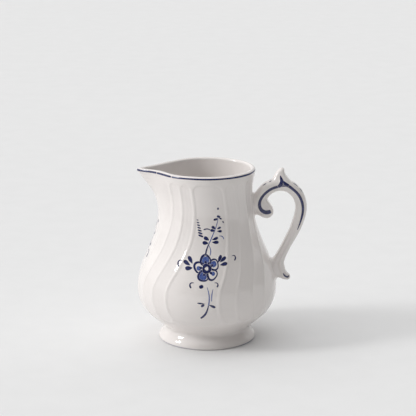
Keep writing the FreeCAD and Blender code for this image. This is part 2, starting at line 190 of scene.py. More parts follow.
def paint(name, dark, light, soft):
    """Brushed colour that fades to the porcelain where its paint_share is below soft."""
    mat, tree, shader = new_material(name)
    pooled = ramp(tree, noise(tree, 900.0, 3.0), [(0.35, dark), (0.68, light)])
    share = tree.nodes.new("ShaderNodeAttribute")
    share.attribute_name = "paint_share"
    edge = tree.nodes.new("ShaderNodeMapRange")
    edge.interpolation_type = "SMOOTHSTEP"
    edge.inputs["From Min"].default_value = 0.0
    edge.inputs["From Max"].default_value = soft
    tree.links.new(share.outputs["Fac"], edge.inputs["Value"])
    mix = tree.nodes.new("ShaderNodeMix")
    mix.data_type = "RGBA"
    mix.inputs["A"].default_value = (*GLAZE, 1.0)
    tree.links.new(edge.outputs["Result"], mix.inputs["Factor"])
    tree.links.new(pooled, mix.inputs["B"])
    tree.links.new(mix.outputs["Result"], shader.inputs["Base Color"])
    glossy(tree, shader)
    return mat


def floor_material():
    """Pale matt surface, a little uneven in tone."""
    mat, tree, shader = new_material("pale_floor")
    grain = noise(tree, 60.0, 3.0)
    tree.links.new(ramp(tree, grain, [(0.3, (0.80, 0.80, 0.80)), (0.7, (0.815, 0.815, 0.815))]),
                   shader.inputs["Base Color"])
    shader.inputs["Roughness"].default_value = 0.85
    shader.inputs["Specular IOR Level"].default_value = 0.1
    return mat


WHITE = porcelain()
BISCUIT = biscuit()
NAVY = paint("cobalt_dark", (0.012, 0.016, 0.075), (0.03, 0.04, 0.14), 0.35)
WASH = paint("cobalt_wash", (0.05, 0.08, 0.28), (0.12, 0.18, 0.44), 0.5)
FAINT = paint("cobalt_faint", (0.20, 0.22, 0.36), (0.34, 0.36, 0.48), 0.9)

# ------------------------------------------------------------------ turned form
# Outside of the body without flutes or spout: radius and height, from the foot to the rim.
MOUTH_RADIUS = 26.8
PROFILE = spline([
    (24.5, FOOT_TOP), (29.5, 12.2), (35.6, 18.2), (39.65, 33.0), (37.7, 42.5),
    (31.3, 58.0), (26.7, 73.8), (25.8, 87.0), (MOUTH_RADIUS, RIM)], 1500)
LENGTH = np.concatenate([[0], np.cumsum(np.linalg.norm(np.diff(PROFILE, axis=0), axis=1))])
# The spout: distance of its tip from the axis, how far below the rim it starts, and how fast
# its crease fades to each side in degrees, outside and inside.
SPOUT_REACH = 40.2
SPOUT_DROP = 42.0
OUTER_CREASE = 12.0
INNER_CREASE = 9.5
OUTER_REACH = SPOUT_REACH - MOUTH_RADIUS
INNER_REACH = OUTER_REACH - 0.4
# Shares of a quarter of the columns that half a wide panel and the three narrow panels get.
WIDE_SHARE = 0.2222
NARROW_SHARE = 0.5556
# Heights of the panels' ends, and half the width of a rib.
PANEL_LOW = 17.2
PANEL_HIGH = 95.4
RIB_HALF = 0.55
# Depth at a panel's edge and what its middle adds, for the wide and the narrow panels.
WIDE_STEP = 0.30
WIDE_MIDDLE = 0.08
NARROW_STEP = 0.27
NARROW_MIDDLE = 0.13
# Corner radius of the panels, and how much less it is at the top.
WIDE_CORNER = 7.5
WIDE_TIGHTER = 3.0
NARROW_CORNER = 6.0
NARROW_TIGHTER = 1.5
# Rise of the rib tops over the profile, the share of it lost at the rim, and how much slimmer
# the neck is on the spout's side.
RIB_RISE = 0.38
RIM_LOSS = 0.8
NECK_SLIM = 0.75


def profile_radius(z):
    """Radius of the profile at a height."""
    return np.interp(z, PROFILE[:, 1], PROFILE[:, 0])


def profile_length(z):
    """Length along the profile from the foot up to a height."""
    return np.interp(z, PROFILE[:, 1], LENGTH)


def swirl(z):
    """Turn of the flutes in degrees: an open S from rim to foot."""
    heights = [16.0, 22.0, 29.0, 37.0, 44.0, 52.0, 61.0, 72.0, 80.0, 88.0, 95.5]
    turns = [-7.0, -10.5, -12.8, -12.3, -8.5, -3.2, 1.6, 4.6, 4.6, 2.4, 0.0]
    fine = spline(list(zip(heights, turns)), 300)
    return np.interp(z, fine[:, 0], fine[:, 1])


def wide_half(z):
    """Half width of the wide panels in degrees, between rib centres."""
    return 20.5 + 2.0 * (1 - ease(z, 40.0, 70.0))


def from_spout(theta):
    """Angle away from the spout in degrees, 0 to 180."""
    turned = np.mod(theta - 180.0, 360.0)
    return np.minimum(turned, 360.0 - turned)


def spout_share(away, z, crease_width):
    """Share of the spout's reach: a soft swell low down that sharpens to a crease above."""
    climb = np.clip((z - (RIM - SPOUT_DROP)) / SPOUT_DROP, 0.0, 1.1)
    crease = np.exp(-(np.hypot(away, 2.0) - 2.0) / crease_width)
    swell = np.exp(-((away / 24.0) ** 2))
    blend = ease(climb, 0.35, 1.0)
    return climb**2.3 * (swell * (1 - blend) + crease * blend)


def mouth_stretch(theta, z):
    """Added radius near the rim that makes the mouth a little longer than wide."""
    return 0.5 * np.cos(np.radians(2 * theta)) * ease(z, RIM - 20, RIM - 2)


def rim_wave(theta, z):
    """Added height: the rim dips a little on each side of the spout and at its tip."""
    away = from_spout(theta)
    dip = -0.30 * np.exp(-(((away - 44.0) / 16.0) ** 2)) - 0.5 * np.exp(-((away / 12.0) ** 2))
    return dip * ease(z, RIM - 18, RIM - 1)


def panel_map(fraction, z):
    """Angle within a quarter, 0 to 90, whose ribs keep to the same fractions."""
    wide = wide_half(z)
    inner = 90 - 2 * wide
    first = fraction / WIDE_SHARE * wide
    middle = wide + (fraction - WIDE_SHARE) / NARROW_SHARE * inner
    last = 90 - (1 - fraction) / WIDE_SHARE * wide
    before_last = fraction < WIDE_SHARE + NARROW_SHARE
    return np.where(fraction < WIDE_SHARE, first, np.where(before_last, middle, last))


def relief(alpha, z, theta):
    """Depth of the panels below the rib tops; alpha is the angle that turns with the flutes."""
    wide = wide_half(z)
    quarter = np.mod(alpha, 90.0)
    narrow = (90 - 2 * wide) / 3
    is_wide = (quarter < wide) | (quarter > 90 - wide)
    centre = np.where(is_wide, np.where(quarter < 45, 0.0, 90.0),
                      wide + (np.floor((quarter - wide) / narrow) + 0.5) * narrow)
    half = np.where(is_wide, wide, narrow / 2)
    radius = profile_radius(z)
    across = np.abs(quarter - centre) * math.pi / 180 * radius
    reach = half * math.pi / 180 * radius - RIB_HALF
    low, high = profile_length(PANEL_LOW), profile_length(PANEL_HIGH)
    up = np.abs(profile_length(z) - (low + high) / 2)
    rise = ease(z, 60.0, 80.0)
    wide_corner = WIDE_CORNER - WIDE_TIGHTER * rise
    narrow_corner = NARROW_CORNER - NARROW_TIGHTER * rise
    corner = np.minimum(reach, np.where(is_wide, wide_corner, narrow_corner))
    qx = across - reach + corner
    qy = up - (high - low) / 2 + corner
    outside = np.hypot(np.maximum(qx, 0), np.maximum(qy, 0))
    edge = outside + np.minimum(np.maximum(qx, qy), 0) - corner
    step = ease(-edge, -0.25, 0.85)
    hollow = np.clip(1 - (across / reach) ** 2, 0, 1) * ease(-edge, 0.0, 4.0)
    flat = WIDE_STEP * step + WIDE_MIDDLE * ease(-edge, 0, 5)
    dished = NARROW_STEP * step + NARROW_MIDDLE * hollow
    depth = np.where(is_wide, flat, dished)
    # The panels fade out on the spout.
    height_share = ease(z, RIM - 40, RIM - 30)
    clear = 1 - height_share * (1 - ease(from_spout(theta), 27, 41))
    return depth * clear


def outer_radius(theta, z):
    """Distance of the outside from the axis."""
    away = from_spout(theta)
    drawn = OUTER_REACH * spout_share(away, z, OUTER_CREASE)
    crown = RIB_RISE * ease(z, 12.0, 20.0) * (1 - RIM_LOSS * ease(z, 74.0, 92.0))
    neck = ease(z, 64.0, 76.0) * (1 - ease(z, 84.0, 94.0))
    crown = crown - NECK_SLIM * neck * (1 - ease(away, 25, 70))
    return (profile_radius(z) + crown + mouth_stretch(theta, z) + drawn
            - relief(theta - swirl(z), z, theta))


def outer_point(theta, z):
    """Point on the outside of the jug."""
    radius = outer_radius(theta, z)
    turn = np.radians(theta)
    return np.stack([radius * np.cos(turn), radius * np.sin(turn), z + rim_wave(theta, z)], -1)


def inner_radius(theta, z, plain):
    """Distance of the inside from the axis; plain is the radius without spout or stretch."""
    drawn = INNER_REACH * spout_share(from_spout(theta), z, INNER_CREASE)
    return plain + mouth_stretch(theta, z) + drawn


def outer_normal(theta, z):
    """Direction straight out of the outside."""
    step = 0.05
    around = outer_point(theta + step, z) - outer_point(theta - step, z)
    up = outer_point(theta, z + step) - outer_point(theta, z - step)
    n = np.cross(around, up)
    return n / np.linalg.norm(n, axis=-1, keepdims=True)


# ------------------------------------------------------------------ jug body
QUARTER = 108
COLUMNS = 4 * QUARTER
LIP_ROUND = 1.4
LIP_Z = RIM - LIP_ROUND
LIP_WALL = 2.7
LIP_STEPS = 12
BODY_WALL = 3.0
FLOOR_THICKNESS = 3.6


def column_angles(z):
    """Angles of the mesh columns at a height; they follow the ribs."""
    index = np.arange(COLUMNS)
    fraction = (index % QUARTER) / QUARTER
    return (index // QUARTER) * 90.0 + panel_map(fraction, z) + swirl(z)


def plain_ring(radius, z):
    """Round ring of points, its columns in line with those low on the body."""
    theta = np.radians(column_angles(FOOT_TOP + 8.0))
    return np.stack([radius * np.cos(theta), radius * np.sin(theta), np.full(COLUMNS, z)], -1)


# The unglazed ring the jug stands on: between these radii, and lower than this height.
BEARING_INNER = 23.9
BEARING_OUTER = 27.0
BEARING_Z = 0.12
# Rounded outer edge of the foot: radius and height.
TOE = [(26.98, 0.05), (27.28, 0.18), (27.52, 0.40), (27.66, 0.68), (27.70, 1.0), (27.68, 1.35)]


def foot_rows():
    """Underside, bearing ring, edge and cove, from the middle outwards and up."""
    base = FOOT_TOP - 1.0
    under = spline([(2.0, base), (12.0, base), (19.0, base), (21.2, base - 0.5),
                    (22.3, base - 2.0), (23.2, 2.6), (24.0, 0.6), (24.5, 0.06)], 15)
    ring = [(24.9, 0.0), (25.8, 0.0), (26.6, 0.0)]
    cove = spline([(27.60, 1.7), (27.25, 2.6), (26.45, 3.9), (25.55, 5.2), (24.95, 6.3),
                   (24.75, 7.1), (25.0, 7.9), (25.75, 8.9), (26.9, 9.95), (28.6, 11.45)], 25)
    return [tuple(p) for p in under] + ring + TOE + [tuple(p) for p in cove]


def body_heights():
    """Heights of the outer rings, closer together at the panel ends and the lip."""
    heights = [11.9, 12.5, 13.1, 13.7]
    heights += list(np.arange(14.2, 21.5, 0.36))
    heights += list(np.linspace(22.0, 92.0, 74))
    heights += list(np.arange(92.6, 97.6, 0.36))
    heights += [97.9, 98.25, LIP_Z]
    return heights


def inner_rows():
    """Radius and height down the inside, one wall in from the profile, then over the floor."""
    floor = FOOT_TOP + FLOOR_THICKNESS
    points = []
    for share in np.linspace(0.985, 0.10, 15):
        i = int(share * (len(PROFILE) - 1))
        tangent = PROFILE[i + 1] - PROFILE[i - 1]
        tangent /= np.linalg.norm(tangent)
        thinning = float(ease(PROFILE[i][1], RIM - 20, RIM - 2))
        thick = BODY_WALL + (LIP_WALL - BODY_WALL) * thinning
        points.append(PROFILE[i] + thick * np.array([-tangent[1], tangent[0]]))
    points = [p for p in points if p[1] > floor + 5.0]
    last = points[-1]
    points += [np.array([(last[0] + 20.0) / 2 + 1.4, floor + 1.5]), np.array([20.0, floor]),
               np.array([12.0, floor - 0.05]), np.array([2.0, floor])]
    return spline(points, 46)


def inner_ring(plain, z):
    """Ring of points on the inside."""
    theta = column_angles(z)
    radius = inner_radius(theta, z, plain)
    turn = np.radians(theta)
    height = np.full(COLUMNS, z) + rim_wave(theta, z)
    return np.stack([radius * np.cos(turn), radius * np.sin(turn), height], -1)


def build_body():
    """One closed skin: underside, foot, outside, round of the lip, inside and floor."""
    rings = []
    unglazed = []
    for radius, z in foot_rows():
        rings.append(plain_ring(radius, z))
        unglazed.append(z < BEARING_Z and BEARING_INNER < radius < BEARING_OUTER)
    for z in body_heights():
        rings.append(outer_point(column_angles(z), np.full(COLUMNS, z)))
    outside = rings[-1]
    inside = inner_ring(float(profile_radius(LIP_Z)) - LIP_WALL, LIP_Z)
    for step in range(1, LIP_STEPS):
        turn = math.pi * step / LIP_STEPS
        ring = (outside + inside) / 2 + (outside - inside) / 2 * math.cos(turn)
        ring[:, 2] += LIP_ROUND * math.sin(turn)
        rings.append(ring)
    rings.append(inside)
    for radius, z in inner_rows():
        if z < LIP_Z - 0.5:
            rings.append(inner_ring(radius, z))
    unglazed += [False] * (len(rings) - len(unglazed))
    verts = np.concatenate(rings)
    index = np.arange(COLUMNS)
    after = (index + 1) % COLUMNS
    faces = []
    mats = []
    for row in range(len(rings) - 1):
        a = row * COLUMNS
        b = a + COLUMNS
        faces.append(np.stack([a + index, a + after, b + after, b + index], -1))
        mats += [int(unglazed[row] and unglazed[row + 1])] * COLUMNS
    faces = np.concatenate(faces).tolist()
    faces.append(list(range(COLUMNS))[::-1])
    top = (len(rings) - 1) * COLUMNS
    faces.append(list(range(top, top + COLUMNS)))
    mats += [0, 0]
    body = make_mesh("jug_body_glazed", verts, faces, WHITE)
    body.data.materials.append(BISCUIT)
    body.data.polygons.foreach_set("material_index", mats)
    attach(body, "root")
    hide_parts("jug_body", "foot_ring")


build_body()


# ------------------------------------------------------------------ handle
# The handle lies in the plane y = 0. Its strap: x and z of the middle, thickness, width.
STRAP = [
    (30.6, 75.4, 6.6, 8.4), (29.7, 77.8, 7.4, 8.6), (29.9, 80.8, 7.5, 8.6), (31.1, 84.0, 7.3, 8.6),
    (33.6, 87.1, 7.1, 8.6), (37.2, 89.2, 6.8, 8.5), (41.5, 90.1, 6.6, 8.4), (45.8, 89.1, 6.5, 8.2),
    (49.3, 86.7, 6.5, 8.1), (51.9, 83.2, 6.5, 8.0), (53.2, 78.5, 6.5, 7.9), (53.2, 74.3, 6.45, 7.8),
    (52.1, 69.7, 6.3, 7.7), (49.7, 63.2, 5.8, 7.5), (46.6, 57.1, 5.3, 7.3), (43.7, 51.3, 5.2, 7.2),
    (41.4, 46.4, 6.0, 7.3), (40.7, 43.6, 6.8, 7.4), (41.0, 41.3, 6.9, 7.2), (42.2, 38.6, 6.1, 6.7),
    (43.7, 36.9, 5.1, 6.1), (45.2, 35.9, 4.1, 5.6), (45.8, 35.7, 3.7, 5.3)]
# The thumb spur in the same terms: a leaf that stands up and leans outwards at its tip.
SPUR = [(41.7, 92.0, 8.6, 7.0), (41.5, 93.8, 8.1, 6.3), (41.5, 95.6, 6.4, 5.6),
        (41.8, 97.1, 4.8, 4.8), (42.15, 98.1, 3.2, 3.8)]
# The eye of the scroll and the short arm that joins it to the strap.
EYE_X, EYE_Z, EYE_RADIUS = 33.8, 74.6, 3.9
ARM_X, ARM_Z, ARM_RADIUS = 33.0, 78.0, 2.7
# How far the parts run into each other, and the whole handle into the body.
ARM_FILLET = 1.6
EYE_FILLET = 2.0
SPUR_FILLET = 2.2
BODY_FILLET = 3.4
# The fillet to the body dips this far under the glaze, and stays this close to the handle.
# The root goes this far into the wall.
FILLET_SUNK = 0.06
FILLET_LIMIT = 5.0
ROOT_DEPTH = 1.6
STRAP_LINE = spline(STRAP, 420)
SPUR_LINE = spline(SPUR, 120)


def along(line, x, z):
    """Distance from a centre line, side of it (1 is left), and half its sizes there."""
    x, z = np.broadcast_arrays(x, z)
    best = np.full(x.shape, 1e9)
    index = np.zeros(x.shape, int)
    for i, (cx, cz) in enumerate(line[:, :2]):
        gap = (x - cx) ** 2 + (z - cz) ** 2
        closer = gap < best
        best[closer] = gap[closer]
        index[closer] = i
    tangent = np.gradient(line[:, :2], axis=0)[index]
    dx = x - line[index, 0]
    dz = z - line[index, 1]
    side = np.sign(tangent[..., 0] * dz - tangent[..., 1] * dx)
    return np.sqrt(best), side, line[index, 2] / 2, line[index, 3] / 2


def rounded(across, y, half, width, radius):
    """Signed distance to a section of the given half sizes, with rounded corners."""
    radius = np.minimum(radius, np.minimum(half, width) * 0.98)
    qx = across - half + radius
    qy = np.abs(y) - width + radius
    outside = np.hypot(np.maximum(qx, 0), np.maximum(qy, 0))
    return outside + np.minimum(np.maximum(qx, qy), 0) - radius


def blend_min(a, b, reach):
    """Join of two signed distances, with a fillet where they differ by less than reach."""
    share = np.clip(reach - np.abs(a - b), 0, None) / reach
    return np.minimum(a, b) - share * share * reach / 4


def bare_handle(x, y, z):
    """Signed distance to the handle without its joints to the body."""
    across, side, half, width = along(STRAP_LINE, x, z)
    outward = across * side
    # The inner side is a little narrower, with sharper corners.
    bevel = 0.42 * ease(-outward, -0.7, 0.5)
    strap = rounded(across, y, half, width - bevel, np.where(outward > 0, 3.1, 1.5))
    disc = np.hypot(x - EYE_X, z - EYE_Z)
    dome = 4.25 - 0.35 * (disc / EYE_RADIUS) ** 2
    eye = rounded(disc, y, EYE_RADIUS, dome, 1.7)
    arm = rounded(np.hypot(x - ARM_X, z - ARM_Z), y, ARM_RADIUS, 3.9, 1.5)
    eye = blend_min(eye, arm, ARM_FILLET)
    across, side, half, width = along(SPUR_LINE, x, z)
    crest = width * (1 - 0.25 * np.clip(across / np.maximum(half, 0.1), 0, 1) ** 2)
    spur = rounded(across, y, half, crest, 1.5)
    return blend_min(blend_min(strap, eye, EYE_FILLET), spur, SPUR_FILLET)


def body_gap(x, y, z):
    """Signed distance to the outside of the body, close enough for the handle's joint."""
    theta = np.degrees(np.arctan2(y, x))
    slope = profile_radius(z + 0.5) - profile_radius(z - 0.5)
    return (np.hypot(x, y) - outer_radius(theta, z)) / np.hypot(1, slope)


def handle_field(x, y, z):
    """Signed distance to the handle with its fillets, cut off inside the body's wall."""
    handle = bare_handle(x, y, z)
    wall = body_gap(x, y, z) + FILLET_SUNK
    joined = blend_min(handle, wall, BODY_FILLET)
    joined = np.maximum(joined, handle - FILLET_LIMIT)
    return np.maximum(joined, -(wall + ROOT_DEPTH))


def grid_surface(field, low, high, cell):
    """Quads around the zero level of a field, one vertex in each crossed cell."""
    axes = [np.arange(low[i], high[i] + cell, cell) for i in range(3)]
    value = field(*np.meshgrid(*axes, indexing="ij", sparse=True))
    inside = value < 0
    count = np.array(inside.shape)
    total = np.zeros(tuple(count - 1) + (3,))
    hits = np.zeros(tuple(count - 1))
    crossings = []
    for axis in range(3):
        a = [slice(None)] * 3
        b = [slice(None)] * 3
        a[axis] = slice(0, -1)
        b[axis] = slice(1, None)
        va, vb = value[tuple(a)], value[tuple(b)]
        crossed = inside[tuple(a)] != inside[tuple(b)]
        at = np.argwhere(crossed)
        share = va[crossed] / (va[crossed] - vb[crossed])
        point = at.astype(float)
        point[:, axis] += share
        crossings.append((axis, at, inside[tuple(a)][crossed]))
        others = [i for i in range(3) if i != axis]
        for da in (0, -1):
            for db in (0, -1):
                cell_at = at.copy()
                cell_at[:, others[0]] += da
                cell_at[:, others[1]] += db
                np.add.at(total, tuple(cell_at.T), point)
                np.add.at(hits, tuple(cell_at.T), 1)
    used = hits > 0
    number = np.full(used.shape, -1)
    number[used] = np.arange(used.sum())
    verts = total[used] / hits[used][:, None] * cell + np.array([axis[0] for axis in axes])
    faces = []
    for axis, at, starts_inside in crossings:
        others = [(axis + 1) % 3, (axis + 2) % 3]
        ring = []
        for da, db in ((-1, -1), (0, -1), (0, 0), (-1, 0)):
            cell_at = at.copy()
            cell_at[:, others[0]] += da
            cell_at[:, others[1]] += db
            ring.append(number[tuple(cell_at.T)])
        quad = np.stack(ring, -1)
        quad[~starts_inside] = quad[~starts_inside][:, ::-1]
        faces.append(quad)
    return verts, np.concatenate(faces)


def settle(field, verts, rounds=2, step=0.04):
    """Points moved onto the zero level of a field along its slope."""
    for _ in range(rounds):
        value = field(*verts.T)
        slope = np.stack([
            field(*(verts + offset).T) - field(*(verts - offset).T)
            for offset in np.eye(3) * step], -1) / (2 * step)
        size = np.maximum((slope**2).sum(-1), 0.25)
        verts = verts - np.clip(value / size, -0.2, 0.2)[:, None] * slope
    return verts


# The box that is searched for the handle's surface, and its grid.
HANDLE_LOW = (19.5, -9.7, 28.0)
HANDLE_HIGH = (59.0, 9.7, 101.5)
CELL = 0.36


def build_handle():
    """The strap, scroll, spur and tail as one glazed skin."""
    verts, faces = grid_surface(handle_field, HANDLE_LOW, HANDLE_HIGH, CELL)
    handle = make_mesh("handle_glazed", settle(handle_field, verts), faces.tolist(), WHITE)
    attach(handle, "root")
    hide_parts("handle_strap", "handle_scroll", "thumb_spur", "handle_tail")


build_handle()


# ------------------------------------------------------------------ painted lines
# Paint skins reach this far into the glaze, and stand this far off it. The dark strokes of
# the sprays lie over the wash.
PAINT_SUNK = 0.03
RIM_LIFT = 0.035
FOOT_LIFT = 0.03
CHEEK_LIFT = 0.04
SPUR_LIFT = 0.05
WASH_LIFT = 0.025
DARK_LIFT = 0.045
EYE_RING_LIFT = 0.055


class Paint:
    """Thin brushed shapes that lie on a glazed surface, gathered into one mesh."""

    def __init__(self):
        self.verts = []
        self.faces = []
        self.shares = []
        self.count = 0

    def patch(self, points, normals, shares, lift, closed=False):
        """Closed skin over a grid of surface points: rows along, columns across."""
        rows, columns = shares.shape
        top = points + normals * lift
        under = points - normals * PAINT_SUNK
        base = self.count
        self.verts += [top.reshape(-1, 3), under.reshape(-1, 3)]
        self.shares += [shares.ravel(), shares.ravel()]
        deep = rows * columns
        self.count += 2 * deep
        last = rows if closed else rows - 1
        for row in range(last):
            a = base + row * columns
            b = base + (row + 1) % rows * columns
            for i in range(columns - 1):
                self.faces.append((a + i, a + i + 1, b + i + 1, b + i))
                self.faces.append((a + deep + i, b + deep + i, b + deep + i + 1, a + deep + i + 1))
            self.faces.append((a, b, b + deep, a + deep))
            end = columns - 1
            self.faces.append((b + end, a + end, a + deep + end, b + deep + end))
        if not closed:
            for row, turned in ((0, False), (rows - 1, True)):
                a = base + row * columns
                for i in range(columns - 1):
                    face = (a + i + 1, a + i, a + deep + i, a + deep + i + 1)
                    self.faces.append(face[::-1] if turned else face)

    def finish(self, name, material, slot, *nodes):
        """Make the mesh, and have it stand in for the CAD nodes if there are any."""
        piece = make_mesh(name, np.concatenate(self.verts), self.faces, material,
                          shares=np.concatenate(self.shares))
        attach(piece, "root")
        if nodes:
            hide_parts(*nodes)


# Places across a stroke, and the share of paint there: full in the middle, none at the edges.
ACROSS = np.linspace(-1, 1, 9)
BRUSH = np.clip((1 - np.abs(ACROSS)) * 2.2, 0, 1)


def lip_point(theta, reach):
    """Point on the lip; reach is up the outside from where the lip starts to round."""
    below = outer_point(theta, LIP_Z + np.minimum(reach, 0))
    turn = np.maximum(reach, 0) / LIP_ROUND
    radius = inner_radius(theta, LIP_Z, profile_radius(LIP_Z) - LIP_WALL)
    angle = np.radians(theta)
    inner = np.stack([radius * np.cos(angle), radius * np.sin(angle), below[..., 2]], -1)
    over = (below + inner) / 2 + (below - inner) / 2 * np.cos(turn)[..., None]
    over[..., 2] += LIP_ROUND * np.sin(turn)
    return over


def grid_normals(points, closed):
    """Normals of a grid of points; closed joins its last row to its first."""
    lengthways = np.gradient(points, axis=0)
    if closed:
        lengthways[0] = points[1] - points[-1]
        lengthways[-1] = points[0] - points[-2]
    across = np.gradient(points, axis=1)
    n = np.cross(lengthways, across)
    return n / np.maximum(np.linalg.norm(n, axis=-1, keepdims=True), 1e-9)


def rim_line():
    """Blue line round the mouth, a little wider at the spout, with three thin places."""
    paint_work = Paint()
    theta = np.linspace(0, 360, 1440, endpoint=False)
    away = from_spout(theta)
    half = 0.52 + 0.14 * np.exp(-((away / 30) ** 2)) + 0.03 * np.sin(np.radians(7 * theta))
    turn, reach = np.meshgrid(theta, ACROSS, indexing="ij")
    # The middle of the line is a third of a millimetre up the round of the lip.
    points = lip_point(turn, 0.34 + reach * half[:, None])
    thin = np.ones(theta.shape)
    for gap, size in ((199.5, 1.0), (223.0, 1.6), (111.0, 1.2)):
        thin *= 1 - 0.9 * np.exp(-(((theta - gap) / size) ** 2))
    paint_work.patch(points, grid_normals(points, True), BRUSH * thin[:, None], RIM_LIFT, True)
    paint_work.finish("rim_line_painted", NAVY, "cobalt_paint", "rim_line")


def foot_line():
    """Washed line round the edge of the foot, stronger in some places than in others."""
    paint_work = Paint()
    theta = np.linspace(0, 360, 720, endpoint=False)
    turn, reach = np.meshgrid(theta, ACROSS, indexing="ij")
    # The line runs from 0.32 to 0.92 mm above the table.
    z = 0.62 + 0.30 * reach
    toe_radius, toe_z = np.array(TOE).T
    radius = np.interp(z, toe_z, toe_radius)
    angle = np.radians(turn)
    points = np.stack([radius * np.cos(angle), radius * np.sin(angle), z], -1)
    thin = 0.55 + 0.45 * np.cos(np.radians(theta - 310)) * np.cos(np.radians(2 * theta))
    paint_work.patch(points, grid_normals(points, True), BRUSH * thin[:, None], FOOT_LIFT, True)
    paint_work.finish("foot_line_painted", FAINT, "cobalt_paint", "foot_line")


# Strokes on each cheek of the handle, as x, z and width: the long line, two that run up the
# spur, and a mark on the tail.
CHEEK = [
    (36.2, 75.2, 2.0), (35.1, 74.8, 2.6), (33.6, 74.6, 2.6), (31.9, 75.1, 2.4),
    (30.5, 76.3, 2.15), (29.7, 78.2, 2.0), (29.9, 81.0, 1.8), (31.4, 83.9, 1.75),
    (33.8, 86.4, 1.7), (36.9, 88.4, 1.7), (40.2, 89.6, 1.8), (42.8, 90.3, 1.9),
    (45.6, 89.9, 1.8), (48.2, 88.1, 1.7), (50.8, 85.7, 1.65), (53.0, 82.2, 1.65),
    (54.1, 78.4, 1.6), (54.2, 74.8, 1.5), (53.5, 71.0, 1.25), (52.5, 67.6, 0.9),
    (51.1, 63.9, 0.35)]
SPUR_FLAME = [(39.8, 89.4, 1.4), (41.7, 90.9, 2.7), (42.1, 92.4, 2.3), (41.7, 94.0, 1.5),
              (41.2, 95.7, 0.4)]
SPUR_BACK = [(46.2, 89.9, 1.6), (44.2, 91.0, 2.0), (42.9, 92.2, 1.5), (42.2, 93.4, 0.5)]
TAIL_MARK = [(43.3, 38.4, 0.4), (44.1, 37.1, 0.9), (45.2, 36.1, 1.1), (46.2, 35.9, 1.0),
             (46.5, 36.8, 0.5)]


def cheek_stroke(paint_work, path, side, lift):
    """A stroke on the side of the handle; side is -1 in front and +1 behind."""
    line = spline(path, 14 * len(path))
    direction = np.gradient(line[:, :2], axis=0)
    direction /= np.linalg.norm(direction, axis=-1, keepdims=True)
    x = line[:, :1] + -direction[:, 1:] * ACROSS * line[:, 2:] / 2
    z = line[:, 1:2] + direction[:, :1] * ACROSS * line[:, 2:] / 2
    # Halve the span again and again to find where the handle's side is.
    low = np.zeros(x.shape)
    high = np.full(x.shape, 6.0)
    for _ in range(18):
        middle = (low + high) / 2
        solid = bare_handle(x, middle, z) < 0
        low = np.where(solid, middle, low)
        high = np.where(solid, high, middle)
    points = np.stack([x, side * low, z], -1)
    normals = grid_normals(points, False)
    normals *= np.sign(normals[..., 1:2]) * side
    if side > 0:
        points, normals = points[:, ::-1], normals[:, ::-1]
    ends = np.clip(np.minimum(np.arange(len(line)), np.arange(len(line))[::-1]) / 4, 0, 1)
    paint_work.patch(points, normals, BRUSH * ends[:, None], lift)


# The stretch of STRAP_LINE that runs over the top of the handle, and the rows in each dash.
TOP_START, TOP_END = 60, 230
DASH_ROWS = 10


def edge_dashes(paint_work):
    """Small brush marks along the top of the handle, in front of and behind its middle."""
    dashes = ((33.6, 35.2, -2.3), (36.2, 37.8, -2.1), (46.8, 49.4, -2.0), (49.9, 51.6, -2.0))
    for start, end, y in dashes:
        for side in (1, -1):
            index = [int(np.argmin(np.abs(STRAP_LINE[TOP_START:TOP_END, 0] - x))) + TOP_START
                     for x in np.linspace(start, end, DASH_ROWS)]
            tangent = np.gradient(STRAP_LINE[:, :2], axis=0)[index]
            tangent /= np.linalg.norm(tangent, axis=-1, keepdims=True)
            normal = np.stack([-tangent[:, 1], np.zeros(DASH_ROWS), tangent[:, 0]], -1)
            middle = np.stack([STRAP_LINE[index, 0], np.full(DASH_ROWS, y * side),
                               STRAP_LINE[index, 1]], -1)
            middle += normal * (STRAP_LINE[index, 2] / 2)[:, None]
            half = 0.55 * np.sin(np.linspace(0.25, math.pi - 0.1, DASH_ROWS))
            shift = ACROSS[:, None] * np.array([0, 1.0, 0])
            points = middle[:, None, :] + shift[None] * half[:, None, None]
            normals = np.repeat(normal[:, None, :], len(ACROSS), 1)
            laid = settle(bare_handle, points.reshape(-1, 3))
            paint_work.patch(laid.reshape(points.shape), normals,
                             np.tile(BRUSH, (DASH_ROWS, 1)), CHEEK_LIFT)


def handle_lines():
    """The painted lines of both cheeks; the dashes on the top go with the front one."""
    for name, side in (("handle_line_front", -1), ("handle_line_back", 1)):
        paint_work = Paint()
        cheek_stroke(paint_work, CHEEK, side, CHEEK_LIFT)
        cheek_stroke(paint_work, SPUR_FLAME, side, SPUR_LIFT)
        cheek_stroke(paint_work, SPUR_BACK, side, SPUR_LIFT)
        cheek_stroke(paint_work, TAIL_MARK, side, CHEEK_LIFT)
        if side < 0:
            edge_dashes(paint_work)
        paint_work.finish(name + "_painted", NAVY, "cobalt_paint", name)


rim_line()
foot_line()
handle_lines()


# ------------------------------------------------------------------ flower sprays
PETALS = 5
PETAL_TURN = 9
PETAL_POINTS = 36
# Distance of a petal's centre from the flower's and its size, as shares of the flower's radius.
PETAL_CENTRE = 0.60
PETAL_SIZE = 0.375
# How much of each petal the wash fills, and its shape: place along the petal and width.
PETAL_FILLS = (1.0, 0.55, 1.0, 0.5, 0.75)
PETAL_WASH = ((-0.9, 0.5), (-0.55, 1.3), (0.0, 1.85), (0.5, 1.6), (0.9, 0.7))
EYE_POINTS = 30
EYE_SIZE = 0.255
FERN_DASHES = 7


